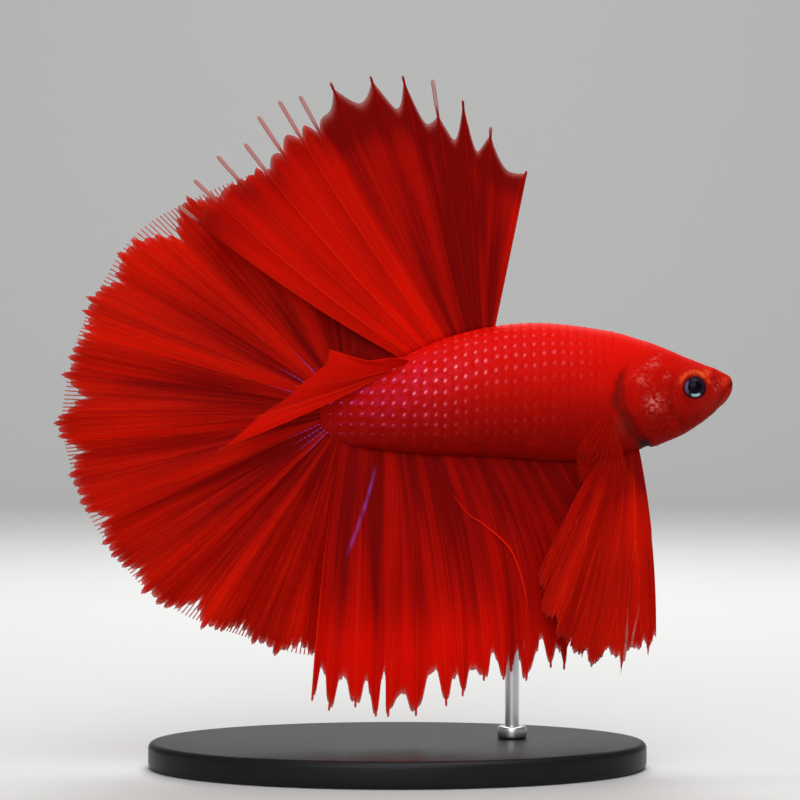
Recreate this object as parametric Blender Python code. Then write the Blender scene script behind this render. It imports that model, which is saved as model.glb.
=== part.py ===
"""A male halfmoon betta (Betta splendens), life size and still, on a plain display stand.

The fish swims level with its head towards +X. Up is +Z, and -Y is its right side. The origin is the
centre of the stand's underside. Metres throughout. Places on the fish are given as shares of its
standard length: s runs back from the tip of the snout, h runs up from the snout's level, and y is
sideways, so that one length sets the size of the whole animal.

The flesh is one lofted body, parted by thin cuts into head, jaw, gill covers, trunk and tail stalk.
Each fin is a thin pleated web on rays, whose tips run out past the web.
"""

from collections import namedtuple
from math import cos, pi, radians, sin

import bmesh
import bpy
import numpy as np
from mathutils import Vector

# ---------------------------------------------------------------- driving dimensions
LENGTH = 0.045  # standard length: tip of the snout to the root of the tail fin
SNOUT = Vector((0.0377, 0.0, 0.0433))  # tip of the snout
GAP = 0.0003  # clearance between neighbouring pieces
WEB_AT_ROOT = 0.0008  # thickness of a fin where it leaves the body
WEB_AT_TIP = 0.00055  # and at its margin

BODY_RINGS = 33
RING_POINTS = 22
# A section is an oval with fuller shoulders: powers of its cosine above and below, and of its sine.
UPPER_FULLNESS, LOWER_FULLNESS, RISE_FULLNESS = 0.92, 0.98, 0.95

# Body outline: (s, back h, belly h, half width)
SECTIONS = [
    (0.000, 0.005, -0.010, 0.005),
    (0.008, 0.017, -0.033, 0.020),
    (0.030, 0.031, -0.062, 0.035),
    (0.060, 0.041, -0.089, 0.048),
    (0.100, 0.057, -0.120, 0.061),
    (0.160, 0.083, -0.148, 0.074),
    (0.230, 0.109, -0.172, 0.084),
    (0.300, 0.129, -0.193, 0.091),
    (0.400, 0.147, -0.203, 0.093),
    (0.500, 0.152, -0.198, 0.088),
    (0.600, 0.143, -0.190, 0.079),
    (0.700, 0.119, -0.186, 0.067),
    (0.800, 0.079, -0.181, 0.053),
    (0.900, 0.026, -0.169, 0.038),
    (0.970, -0.006, -0.156, 0.028),
    (1.010, -0.030, -0.136, 0.021),
    (1.030, -0.060, -0.104, 0.012),
]
TAIL_BEND = -0.032  # how far the root of the tail fin is carried sideways

# Gill opening, the rear edge of head and gill covers: (h, s)
GILL_EDGE = [
    (-0.30, 0.185),
    (-0.16, 0.208),
    (-0.12, 0.238),
    (-0.07, 0.268),
    (-0.02, 0.281),
    (0.03, 0.268),
    (0.10, 0.236),
    (0.30, 0.215),
]
COVER_TOP, COVER_BOTTOM = 0.036, -0.128  # h of a gill cover's ends along that edge
COVER_FRONT = [(0.196, -0.132), (0.160, -0.090), (0.152, -0.040), (0.164, 0.012), (0.205, 0.036)]
COVER_THICKNESS = 0.0009
COVER_INSIDE = 0.020  # y where the covers' blocks start, so that left and right stay apart

JAW_HINGE = (0.088, -0.100)  # (s, h) of the lower end of the mouth's cleft, which starts at the snout
STALK_START = 0.800  # s of the cut between trunk and tail stalk

EYE_PLACE = (0.101, -0.013)  # (s, h)
EYE_RADIUS = 0.0290
EYE_FLATNESS = 0.72
EYE_SIDE = 0.0440  # y of the eye's centre

# Display stand, in metres
BASE_LENGTH, BASE_WIDTH, BASE_HEIGHT = 0.056, 0.036, 0.003
BASE_ROUNDING = 0.0006
ROD_RADIUS = 0.0008
ROD_X, ROD_Y = 0.0130, 0.0023
SOCKET_DEPTH = 0.0020


# ---------------------------------------------------------------- shared tools
def clear_scene():
    for obj in list(bpy.data.objects):
        bpy.data.objects.remove(obj, do_unlink=True)


def material(name, colour, roughness, metallic=0.0):
    made = bpy.data.materials.new(name)
    made.use_nodes = True
    shader = made.node_tree.nodes["Principled BSDF"]
    shader.inputs["Base Color"].default_value = (*colour, 1.0)
    shader.inputs["Roughness"].default_value = roughness
    shader.inputs["Metallic"].default_value = metallic
    return made


def object_from(name, bm, finish=None, smooth=True):
    """Turns a bmesh into a named object. Smooth faces keep their edges over 40 degrees sharp."""
    bm.normal_update()
    bmesh.ops.recalc_face_normals(bm, faces=bm.faces)
    mesh = bpy.data.meshes.new(name)
    bm.to_mesh(mesh)
    bm.free()
    if smooth:
        mesh.shade_smooth()
        mesh.set_sharp_from_angle(angle=radians(40))
    obj = bpy.data.objects.new(name, mesh)
    bpy.context.scene.collection.objects.link(obj)
    if finish:
        mesh.materials.append(finish)
    return obj


def hidden(obj):
    """Marks a cutter, which shapes other objects and isn't a piece itself."""
    obj.hide_render = True
    obj.display_type = "WIRE"
    return obj


def combine(obj, operation, other):
    boolean = obj.modifiers.new(f"{operation.lower()}_{other.name}", "BOOLEAN")
    boolean.operation = operation
    boolean.solver = "EXACT"
    boolean.object = other


def smooth_curve(points):
    """A smooth curve through (place, value) points, as a function of the place."""
    places, values = (np.array(column, float) for column in zip(*points))
    slopes = np.gradient(values, places)

    def value(place):
        i = int(np.clip(np.searchsorted(places, place) - 1, 0, len(places) - 2))
        step = places[i + 1] - places[i]
        t = (place - places[i]) / step
        rise = values[i + 1] - values[i]
        a = slopes[i] * step - rise
        b = rise - slopes[i + 1] * step
        return float(values[i] + t * rise + t * (1 - t) * ((1 - t) * a + t * b))

    return value


def along(*values):
    """A smooth curve through values that are evenly spaced from 0 to 1."""
    return smooth_curve(list(zip(np.linspace(0, 1, len(values)), values)))


def place(s, h, y=0.0):
    """The point at shares s, h and y of the standard length."""
    return SNOUT + LENGTH * Vector((-s, y, h))


# ---------------------------------------------------------------- body
back = smooth_curve([(s, top) for s, top, low, half in SECTIONS])
belly = smooth_curve([(s, low) for s, top, low, half in SECTIONS])
half_width = smooth_curve([(s, half) for s, top, low, half in SECTIONS])
gill_edge = smooth_curve(GILL_EDGE)


def spine(s):
    """Sideways place of the midline: straight as far as the belly, then bent towards the tail."""
    t = max(0.0, (s - 0.45) / (1.0 - 0.45))
    return TAIL_BEND * t * t * (1.6 - 0.6 * t)


def section_point(s, turn, inset=0.0):
    """A point of the body's outline at s. turn runs from the left side over the back."""
    inset = inset / LENGTH
    top, low = back(s) - inset, belly(s) + inset
    half = max(half_width(s) - inset, 0.002)
    middle, height = (top + low) / 2, max((top - low) / 2, 0.002)
    fullness = UPPER_FULLNESS if sin(turn) > 0 else LOWER_FULLNESS
    side = np.sign(cos(turn)) * abs(cos(turn)) ** fullness
    rise = np.sign(sin(turn)) * abs(sin(turn)) ** RISE_FULLNESS
    return place(s, middle + height * rise, spine(s) + half * side)


def flank(s, h):
    """Sideways distance from the midline to the skin at s and h."""
    middle, height = (back(s) + belly(s)) / 2, (back(s) - belly(s)) / 2
    rise = min(abs(h - middle) / height, 1.0) ** (1 / RISE_FULLNESS)
    return half_width(s) * (1 - rise**2) ** (LOWER_FULLNESS / 2)


def body_loft(name, inset=0.0, first=SECTIONS[0][0], last=SECTIONS[-1][0], count=BODY_RINGS):
    """The body from s = first to last as one closed surface. An inset makes it smaller all round."""
    bm = bmesh.new()
    rings = []
    for i in range(count):
        # closer rings at the front, where the snout's outline turns fastest
        t = i / (count - 1)
        s = first + (last - first) * t ** (1.35 - 0.35 * t)
        turns = (2 * pi * k / RING_POINTS for k in range(RING_POINTS))
        rings.append([bm.verts.new(section_point(s, turn, inset)) for turn in turns])
    for ring, following in zip(rings, rings[1:]):
        for k in range(RING_POINTS):
            j = (k + 1) % RING_POINTS
            bm.faces.new((ring[k], ring[j], following[j], following[k]))
    bm.faces.new(rings[0])
    bm.faces.new(rings[-1])
    return object_from(name, bm)


def side_block(name, outline, low, high):
    """A block that stands on an outline of (s, h) points and runs from y = low to y = high."""
    bm = bmesh.new()
    near = [bm.verts.new(place(s, h, low)) for s, h in outline]
    cap = bm.faces.new(near)
    grown = bmesh.ops.extrude_face_region(bm, geom=[cap])
    moved = [item for item in grown["geom"] if isinstance(item, bmesh.types.BMVert)]
    bmesh.ops.translate(bm, verts=moved, vec=Vector((0, LENGTH * (high - low), 0)))
    return hidden(object_from(name, bm, smooth=False))


def gill_line(low, high, steps, back_by=0.0):
    """Points down the gill opening, from h = high to h = low."""
    return [(gill_edge(h) + back_by, h) for h in np.linspace(high, low, steps)]


def head_block(name, back_by=0.0):
    front = [(-0.1, -0.3), (-0.1, 0.3)]
    return side_block(name, front + gill_line(-0.3, 0.3, 17, back_by), -0.2, 0.2)


def cover_block(name, side, grown=0.0):
    """The outline of a gill cover, on the left side (1) or the right (-1). grown widens it."""
    front = [(s - grown, h) for s, h in COVER_FRONT]
    rear = gill_line(COVER_BOTTOM - grown, COVER_TOP + grown, 9, 3 * grown)
    low, high = sorted((side * (COVER_INSIDE - grown), side * 0.2))
    return side_block(name, rear + front, low, high)


def jaw_block(name, grown=0.0):
    """All that lies in front of and below the mouth's cleft."""
    hinge_s, hinge_h = JAW_HINGE
    corner_s, corner_h = -0.010, 0.026
    return side_block(
        name,
        [
            (corner_s + grown, corner_h + grown),
            (hinge_s * 0.45 + grown, hinge_h * 0.32 + grown),
            (hinge_s + grown, hinge_h),
            (hinge_s + grown, -0.3),
            (-0.1, -0.3),
            (-0.1, corner_h + grown),
        ],
        -0.2,
        0.2,
    )


def stalk_block(name, front):
    """All that lies behind s = front."""
    return side_block(name, [(front, 0.3), (2.0, 0.3), (2.0, -0.4), (front, -0.4)], -0.3, 0.3)


def eyeball(name, side, grown=0.0):
    bm = bmesh.new()
    bmesh.ops.create_uvsphere(bm, u_segments=12, v_segments=8, radius=1.0)
    size = LENGTH * EYE_RADIUS + grown
    bmesh.ops.scale(bm, vec=Vector((size, size, size * EYE_FLATNESS)), verts=bm.verts)
    for vertex in bm.verts:  # the poles face sideways
        x, y, z = vertex.co
        vertex.co = place(*EYE_PLACE, side * EYE_SIDE) + Vector((x, z, y))
    return object_from(name, bm)


def build_body(finishes):
    skin, jaw_skin, cover_skin, eye_finish = finishes
    whole = body_loft("cutter_whole")
    flesh = whole.data

    def piece(name, finish):
        obj = bpy.data.objects.new(name, flesh.copy())
        bpy.context.scene.collection.objects.link(obj)
        obj.data.materials.append(finish)
        return obj

    clearance = GAP / LENGTH
    in_front = head_block("cutter_head")
    in_front_and_gap = head_block("cutter_head_gap", back_by=1.4 * clearance)
    jaw_space = jaw_block("cutter_jaw_gap", grown=clearance)
    behind_trunk = stalk_block("cutter_trunk_end", STALK_START)
    stalk_space = stalk_block("cutter_stalk", STALK_START + clearance)

    head = piece("head", skin)
    jaw = piece("lower_jaw", jaw_skin)
    combine(jaw, "INTERSECT", jaw_block("cutter_jaw"))

    span = dict(first=0.08, last=0.40, count=12)
    under_cover = hidden(body_loft("cutter_under_cover", COVER_THICKNESS, **span))
    under_gap = hidden(body_loft("cutter_under_gap", COVER_THICKNESS + GAP, **span))
    for side, word in ((1, "left"), (-1, "right")):
        cover = piece(f"gill_cover_{word}", cover_skin)
        combine(cover, "INTERSECT", cover_block(f"cutter_cover_{word}", side))
        combine(cover, "DIFFERENCE", under_cover)
        recess = cover_block(f"cutter_recess_{word}", side, grown=clearance)
        combine(recess, "DIFFERENCE", under_gap)
        combine(head, "DIFFERENCE", recess)
        combine(head, "DIFFERENCE", hidden(eyeball(f"cutter_socket_{word}", side, GAP)))
        eye = eyeball(f"eye_{word}", side)
        eye.data.materials.append(eye_finish)
    combine(head, "DIFFERENCE", jaw_space)
    combine(head, "INTERSECT", in_front)

    trunk = piece("trunk", skin)
    combine(trunk, "DIFFERENCE", in_front_and_gap)
    combine(trunk, "DIFFERENCE", behind_trunk)

    stalk = piece("tail_stalk", skin)
    combine(stalk, "INTERSECT", stalk_space)
    bpy.data.objects.remove(whole, do_unlink=True)


# ---------------------------------------------------------------- fins
# root(u) is where the ray at u leaves the body, in metres. u runs over the fin from 0 to 1, and v
# along a ray from its root to its tip. angle(u) is the ray's first direction in the side view, in
# degrees, with 0 towards the head and 90 up, and curl(u) is how far it turns by its tip. reach(u) is
# its length as a share of the standard length, and web(u) the share of the ray that the web follows.
# lean(u) is how far sideways the tip stands from the root, and bow(u) swells the middle of the ray.
# folds counts the pleats across the fin, fold is their depth, and phase shifts them.
Fin = namedtuple("Fin", "root angle curl reach web lean bow folds fold phase rays rows notch")


def fin_point(fin, u, v):
    """The middle of the fin's thickness at u and v."""
    start, turn = radians(fin.angle(u)), radians(fin.curl(u))
    reach = LENGTH * fin.reach(u)
    if abs(turn) < 1e-3:
        forward, up = v * cos(start), v * sin(start)
    else:
        forward = (sin(start + turn * v) - sin(start)) / turn
        up = (cos(start) - cos(start + turn * v)) / turn
    pleat = sin(2 * pi * (fin.folds * u + fin.phase + 0.14 * sin(2 * pi * 1.3 * u)))
    sideways = fin.lean(u) * v + fin.bow(u) * 4 * v * (1 - v) + fin.fold * pleat * v**1.3
    return fin.root(u) + Vector((reach * forward, LENGTH * sideways, reach * up))


def fin_columns(fin):
    """(u, v at the margin) down the fin: each ray's tip, the web beside it and the notch between."""
    pitch = 1 / (fin.rays - 1)
    beside = 0.17 * pitch
    for i in range(fin.rays):
        u = i * pitch
        if i:
            yield u - beside, fin.web(u)
        yield u, 1.0
        if i < fin.rays - 1:
            yield u + beside, fin.web(u)
            if fin.notch:
                yield u + 0.5 * pitch, fin.web(u) - fin.notch


def build_fin(name, fin, finish):
    """A closed thin sheet: two faces with the web's thickness between them, and a rim."""
    bm = bmesh.new()
    faces = []
    for side in (-0.5, 0.5):
        grid = []
        for u, end in fin_columns(fin):
            levels = [0.92 * min(fin.web(u) - fin.notch, 1) * j / (fin.rows - 1) for j in range(fin.rows)]
            column = []
            for v in [*levels, end]:
                thickness = WEB_AT_ROOT + (WEB_AT_TIP - WEB_AT_ROOT) * min(v * 3, 1)
                offset = Vector((0, side * thickness, 0))
                column.append(bm.verts.new(fin_point(fin, u, v) + offset))
            grid.append(column)
        faces.append(grid)
    near, away = faces
    last = len(near[0]) - 1
    for grid in faces:
        for left, right in zip(grid, grid[1:]):
            for j in range(last):
                bm.faces.new((left[j], right[j], right[j + 1], left[j + 1]))
    for i in range(len(near) - 1):
        for j in (0, last):
            bm.faces.new((near[i][j], near[i + 1][j], away[i + 1][j], away[i][j]))
    for i in (0, -1):
        for j in range(last):
            bm.faces.new((near[i][j], near[i][j + 1], away[i][j + 1], away[i][j]))
    obj = object_from(name, bm)
    obj.data.materials.append(finish)
    return obj


def on_back(front, rear, side=0.0):
    """A root line along the back, a gap above the skin."""
    lift = 1.6 * GAP / LENGTH

    def root(u):
        s = front + (rear - front) * u
        drop = (back(s) - belly(s)) / 2 * (1 - (1 - (side / half_width(s)) ** 2) ** 0.5)
        return place(s, back(s) - drop + lift, spine(s) + side)

    return root


def on_belly(front, rear, side=0.0):
    """A root line along the belly, a gap below the skin."""
    lift = 1.6 * GAP / LENGTH

    def root(u):
        s = front + (rear - front) * u
        drop = (back(s) - belly(s)) / 2 * (1 - (1 - (side / half_width(s)) ** 2) ** 0.5)
        return place(s, belly(s) + drop - lift, spine(s) + side)

    return root


def tail_fin():
    """The tail fin: a half disc of rays round the rounded end of the stalk."""
    centre_s, centre_h = 0.972, -0.081
    deep, tall = 0.071, 0.078  # half axes of the root's arc, a gap outside the stalk

    def root(u):
        turn = radians(90 + 173 * u)
        s = centre_s - deep * cos(turn)
        return place(s, centre_h + tall * sin(turn), spine(min(s, 1.0)))

    return Fin(
        root=root,
        angle=along(92, 136, 179, 222, 265),
        curl=along(4, 0, 0, 0),
        reach=along(0.585, 0.605, 0.640, 0.645, 0.650, 0.615, 0.570, 0.550),
        web=along(0.93, 0.95, 0.96, 0.94, 0.93),
        lean=along(0.060, 0.020, -0.020, -0.020, 0.015, 0.075),
        bow=along(0.020, -0.008, -0.012, -0.010, 0.0),
        folds=9,
        fold=0.016,
        phase=0.1,
        rays=27,
        rows=4,
        notch=0.0,
    )


def dorsal_fin():
    """The dorsal fin: a tall fan whose rear rays lie back over the tail fin, on its right side."""
    return Fin(
        root=on_back(0.598, 0.824),
        angle=along(78, 98, 111, 125, 137, 151),
        curl=along(0, -1, -3, -6, -9, -11),
        reach=along(0.40, 0.51, 0.58, 0.64, 0.67, 0.69, 0.71, 0.71, 0.73, 0.72, 0.68, 0.70, 0.70, 0.68),
        web=along(0.93, 0.81, 0.92, 0.88, 0.88, 0.93),
        lean=along(0.0, -0.005, -0.020, -0.040, -0.065, -0.090),
        bow=along(0.0, 0.0, -0.008, -0.016),
        folds=5,
        fold=0.014,
        phase=0.0,
        rays=14,
        rows=5,
        notch=0.03,
    )


def dorsal_lobe():
    """The last dorsal rays, folded down over the right side of the tail stalk."""
    return Fin(
        root=on_back(0.810, 0.855, side=-0.024),
        angle=along(154, 171, 186, 196, 203, 206),
        curl=along(-4, -12, -20, -6, 0, 2),
        reach=along(0.150, 0.165, 0.190, 0.245, 0.385, 0.474),
        web=along(0.97, 0.97),
        lean=along(-0.045, -0.060, -0.068, -0.072, -0.074),
        bow=along(-0.010, -0.010, -0.016, -0.022, -0.026),
        folds=1.5,
        fold=0.008,
        phase=0.2,
        rays=6,
        rows=5,
        notch=0.0,
    )


def anal_fin():
    """The anal fin: a long skirt under the body, its front rays curved, its rear rays upright."""
    return Fin(
        root=on_belly(0.384, 0.966),
        angle=along(305, 303, 300, 291, 274, 262),
        curl=along(-32, -32, -30, -21, -6, 0),
        reach=along(0.370, 0.490, 0.560, 0.600, 0.670, 0.660),
        web=along(0.90, 0.93, 0.93, 0.91, 0.90, 0.91),
        lean=along(0.0, -0.010, -0.018, -0.030, -0.048, -0.055),
        bow=along(0.0, 0.0, -0.006, -0.008),
        folds=8,
        fold=0.012,
        phase=0.35,
        rays=21,
        rows=5,
        notch=0.0,
    )


def ventral_fin(side):
    """A ventral fin: a blade of a few rays under the chest. The left one is held further back."""
    back_by = 4.0 if side > 0 else 0.0
    return Fin(
        root=on_belly(0.232, 0.290, side=0.024 * side),
        angle=along(281 - back_by, 270 - back_by, 258, 246, 236),
        curl=along(-14, -10, -4, 4, 10),
        reach=along(0.530, 0.560, 0.530, 0.450, 0.340),
        web=along(0.90, 0.92, 0.90, 0.92),
        lean=along(0.055 * side, 0.060 * side, 0.066 * side, 0.070 * side),
        bow=along(0.006 * side, 0.010 * side),
        folds=2.5,
        fold=0.009,
        phase=0.1,
        rays=7,
        rows=6,
        notch=0.0,
    )


def pectoral_fin(side):
    """A pectoral fin: a small round fan behind the gill cover, hanging down and held off the body."""

    def root(u):
        s, h = 0.300 + 0.008 * u, -0.116 + 0.056 * u
        clear = flank(s, h) + (GAP + 0.75 * WEB_AT_ROOT) / LENGTH
        return place(s, h, side * clear)

    return Fin(
        root=root,
        angle=along(287, 272, 257, 243, 226),
        curl=along(-4, -2, 2, 4),
        reach=along(0.130, 0.175, 0.195, 0.195, 0.140),
        web=along(0.96, 0.96),
        lean=along(0.060 * side, 0.075 * side, 0.080 * side),
        bow=along(0.010 * side, 0.010 * side),
        folds=2,
        fold=0.004,
        phase=0.0,
        rays=8,
        rows=3,
        notch=0.0,
    )


def build_fins(finish, clear_finish):
    build_fin("caudal_fin", tail_fin(), finish)
    build_fin("dorsal_fin", dorsal_fin(), finish)
    build_fin("dorsal_fin_lobe", dorsal_lobe(), finish)
    build_fin("anal_fin", anal_fin(), finish)
    for side, word in ((1, "left"), (-1, "right")):
        build_fin(f"ventral_fin_{word}", ventral_fin(side), finish)
        build_fin(f"pectoral_fin_{word}", pectoral_fin(side), clear_finish)


# ---------------------------------------------------------------- display stand
def upright_cylinder(name, radius, low, high, x=0.0, y=0.0, segments=16):
    bm = bmesh.new()
    bmesh.ops.create_cone(
        bm, cap_ends=True, segments=segments, radius1=radius, radius2=radius, depth=high - low
    )
    bmesh.ops.translate(bm, verts=bm.verts, vec=Vector((x, y, (low + high) / 2)))
    return object_from(name, bm)


def build_stand(base_finish, rod_finish):
    base = upright_cylinder("stand_base", BASE_LENGTH / 2, 0.0, BASE_HEIGHT, segments=40)
    for vertex in base.data.vertices:
        vertex.co.y *= BASE_WIDTH / BASE_LENGTH
    top_edge = base.modifiers.new("rounding", "BEVEL")
    top_edge.width = BASE_ROUNDING
    top_edge.segments = 1
    top_edge.limit_method = "ANGLE"
    socket = upright_cylinder(
        "cutter_rod_socket",
        ROD_RADIUS + GAP,
        BASE_HEIGHT - SOCKET_DEPTH,
        2 * BASE_HEIGHT,
        ROD_X,
        ROD_Y,
    )
    combine(base, "DIFFERENCE", hidden(socket))
    base.data.materials.append(base_finish)

    foot = BASE_HEIGHT - SOCKET_DEPTH + GAP
    rod = upright_cylinder("stand_rod", ROD_RADIUS, foot, SNOUT.z - 0.004, ROD_X, ROD_Y)
    combine(rod, "DIFFERENCE", hidden(body_loft("cutter_rod_top", inset=-GAP)))
    rod.data.materials.append(rod_finish)


# ---------------------------------------------------------------- the model
clear_scene()
red_skin = material("red_skin", (0.70, 0.012, 0.004), 0.42)
jaw_red = material("jaw_red", (0.60, 0.045, 0.018), 0.45)
cover_red = material("cover_red", (0.66, 0.020, 0.008), 0.38)
eye_black = material("eye_black", (0.010, 0.012, 0.020), 0.08)
fin_red = material("fin_red", (0.74, 0.010, 0.003), 0.45)
clear_fin_red = material("clear_fin_red", (0.75, 0.080, 0.035), 0.40)
base_black = material("base_black", (0.020, 0.020, 0.022), 0.30)
rod_steel = material("rod_steel", (0.60, 0.60, 0.62), 0.28, metallic=1.0)

build_body((red_skin, jaw_red, cover_red, eye_black))
build_fins(fin_red, clear_fin_red)
build_stand(base_black, rod_steel)
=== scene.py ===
from math import cos, pi, radians, sin

import bpy
import numpy as np
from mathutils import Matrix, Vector
from mathutils.bvhtree import BVHTree


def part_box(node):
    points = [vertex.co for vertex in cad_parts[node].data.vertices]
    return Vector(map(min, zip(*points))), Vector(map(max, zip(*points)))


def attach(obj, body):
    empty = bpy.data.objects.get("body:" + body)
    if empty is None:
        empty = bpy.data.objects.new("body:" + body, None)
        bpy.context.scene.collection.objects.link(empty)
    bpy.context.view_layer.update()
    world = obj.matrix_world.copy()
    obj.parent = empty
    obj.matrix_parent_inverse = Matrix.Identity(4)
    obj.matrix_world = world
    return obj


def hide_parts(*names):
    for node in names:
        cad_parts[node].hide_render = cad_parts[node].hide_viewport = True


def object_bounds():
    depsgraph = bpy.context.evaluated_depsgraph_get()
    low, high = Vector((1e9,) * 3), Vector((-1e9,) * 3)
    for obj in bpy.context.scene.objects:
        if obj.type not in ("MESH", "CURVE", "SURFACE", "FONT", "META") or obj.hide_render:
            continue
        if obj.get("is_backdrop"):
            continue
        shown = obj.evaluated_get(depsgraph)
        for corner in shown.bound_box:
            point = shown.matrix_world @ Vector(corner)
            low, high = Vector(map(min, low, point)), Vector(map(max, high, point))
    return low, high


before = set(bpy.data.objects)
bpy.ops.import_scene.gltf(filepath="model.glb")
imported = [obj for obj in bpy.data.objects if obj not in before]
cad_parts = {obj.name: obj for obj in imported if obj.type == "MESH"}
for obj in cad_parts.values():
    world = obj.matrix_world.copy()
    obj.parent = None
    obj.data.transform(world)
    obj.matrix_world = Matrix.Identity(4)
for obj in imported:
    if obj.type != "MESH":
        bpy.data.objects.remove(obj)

cad_low, cad_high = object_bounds()
bpy.ops.object.select_all(action="DESELECT")


# ------------------------------------------------------------------ body skin
# One wet red skin over head, jaws, gill covers, trunk and tail stalk, with no seam. It is drawn ring by
# ring over the solids of flesh and sunk by the depth of the scales. Mouth, lips, nostrils, eye sockets,
# cheek and gill openings are then worked into it.
flesh = ["head", "lower_jaw", "gill_cover_left", "gill_cover_right", "trunk", "tail_stalk"]
snout_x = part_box("lower_jaw")[1].x
length = (snout_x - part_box("tail_stalk")[0].x) / 1.03
snout_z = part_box("trunk")[1].z - 0.152 * length
millimetre = 0.001
turns = 128
scale_depth = 0.08 * millimetre


def solid_tree(names):
    """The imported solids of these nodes, ready to be touched by rays."""
    points, faces = [], []
    for name in names:
        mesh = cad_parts[name].data
        start = len(points)
        points += [vertex.co.copy() for vertex in mesh.vertices]
        faces += [[start + i for i in face.vertices] for face in mesh.polygons]
    return BVHTree.FromPolygons(points, faces)


def mended(values):
    """Fills what no ray touched from the values on either side."""
    values = np.array(values, float)
    known = np.isfinite(values)
    return np.interp(np.arange(len(values)), np.flatnonzero(known), values[known])


def touched(tree, start, direction, axis):
    """Where a ray first touches the tree, along one axis, or nan."""
    hit = tree.ray_cast(Vector(start), Vector(direction))[0]
    return np.nan if hit is None else hit[axis]


def neighbours(grid, rings, steps, pick):
    """The largest or smallest value within some rings and steps of each place."""
    count = len(grid)
    padded = np.pad(grid, ((rings, rings), (0, 0)), mode="edge")
    grid = pick([padded[k : k + count] for k in range(2 * rings + 1)], axis=0)
    return pick([np.roll(grid, k, axis=1) for k in range(-steps, steps + 1)], axis=0)


def eased(values, times):
    """Values evened out with their neighbours along the body, with both ends kept."""
    values = values.copy()
    for _ in range(times):
        values[1:-1] = (values[:-2] + 2 * values[1:-1] + values[2:]) / 4
    return values


def eased_around(grid, times):
    """A grid evened out round the body."""
    for _ in range(times):
        grid = (np.roll(grid, 1, 1) + 2 * grid + np.roll(grid, -1, 1)) / 4
    return grid


def smooth_curve(points, place):
    """A smooth curve through (place, value) points."""
    places, values = (np.array(column, float) for column in zip(*points))
    slopes = np.gradient(values, places)
    i = np.clip(np.searchsorted(places, place) - 1, 0, len(places) - 2)
    step = places[i + 1] - places[i]
    t = np.clip((place - places[i]) / step, 0, 1)
    rise = values[i + 1] - values[i]
    a = slopes[i] * step - rise
    b = rise - slopes[i + 1] * step
    return values[i] + t * rise + t * (1 - t) * ((1 - t) * a + t * b)


def ramp(value, low, high):
    """0 at low, 1 at high, and smooth between them."""
    t = np.clip((value - low) / (high - low), 0, 1)
    return t * t * (3 - 2 * t)


def hump(value, centre, width):
    """1 at the centre, and smoothly down to 0 on both sides."""
    return np.exp(-(((value - centre) / width) ** 2))


shares = np.concatenate([
    0.03 * (1 - np.cos(np.linspace(0.12, pi / 2, 10)))[:-1],
    np.arange(0.03, 0.30, 0.0028),
    np.arange(0.30, 1.0, 0.0055),
    1.0 + 0.0298 * np.sin(np.linspace(0, pi / 2, 8)),
])
turn_angles = np.arange(turns) * 2 * pi / turns
body = solid_tree([*flesh, "eye_left", "eye_right"])
ring_x = snout_x - shares * length
middle_y = np.zeros(len(shares))
for _ in range(2):
    top = mended([touched(body, (x, y, 0.1), (0, 0, -1), 2) for x, y in zip(ring_x, middle_y)])
    low = mended([touched(body, (x, y, 0), (0, 0, 1), 2) for x, y in zip(ring_x, middle_y)])
    middle_z = (top + low) / 2
    left = mended([touched(body, (x, 0.1, z), (0, -1, 0), 1) for x, z in zip(ring_x, middle_z)])
    right = mended([touched(body, (x, -0.1, z), (0, 1, 0), 1) for x, z in zip(ring_x, middle_z)])
    middle_y = (left + right) / 2
half_wide, half_high = (left - right) / 2, (top - low) / 2
body_lines = middle_y, middle_z, half_wide, half_high
middle_y, middle_z, half_wide, half_high = (eased(line, 80) for line in body_lines)
outward = np.stack([
    np.zeros((len(shares), turns)),
    np.outer(half_wide, np.cos(turn_angles)),
    np.outer(half_high, np.sin(turn_angles)),
], axis=-1)
outward /= np.linalg.norm(outward, axis=-1, keepdims=True)
axis_points = np.stack([ring_x, middle_y, middle_z], axis=-1)[:, None, :]
outside = 20 * millimetre
radius = np.zeros((len(shares), turns))
for i in range(len(shares)):
    for j in range(turns):
        start = Vector(axis_points[i, 0] + outward[i, j] * outside)
        distance = body.ray_cast(start, Vector(-outward[i, j]), outside)[3]
        radius[i, j] = 0 if distance is None else outside - distance
radius = neighbours(neighbours(radius, 3, 2, np.max), 3, 2, np.min)
radius = eased(eased_around(radius, 20), 24)
shoulder_window = ramp(shares, 0.05, 0.10) * ramp(shares, 0.50, 0.40)
radius += (eased(radius, 110) - radius) * shoulder_window[:, None]
nose_end = 0.014
radius *= (0.25 + 0.75 * np.sqrt(1 - np.clip(1 - shares / nose_end, 0, 1) ** 2))[:, None]
smooth_points = axis_points + outward * radius[..., None]
skin_s = np.repeat(shares[:, None], turns, axis=1)
skin_h = (smooth_points[..., 2] - snout_z) / length
skin_y = (smooth_points[..., 1] - middle_y[:, None]) / length


def gill_edge(h):
    """The share s of the gill opening's edge at height h."""
    edge = smooth_curve([
        (-0.30, 0.185), (-0.16, 0.208), (-0.12, 0.238), (-0.07, 0.268),
        (-0.02, 0.281), (0.03, 0.268), (0.10, 0.236), (0.30, 0.215),
    ], h)
    return edge + 0.0028 * np.sin(95 * h + 0.5) + 0.0016 * np.sin(230 * h + 2)


def line_distance(s, h, start, end):
    """Distance from a straight line on the side of the head, and how far along it, from 0 to 1."""
    direction = np.array(end) - np.array(start)
    along_it = ((s - start[0]) * direction[0] + (h - start[1]) * direction[1]) / (direction @ direction)
    across = ((h - start[1]) * direction[0] - (s - start[0]) * direction[1]) / np.hypot(*direction)
    return across, along_it


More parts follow.
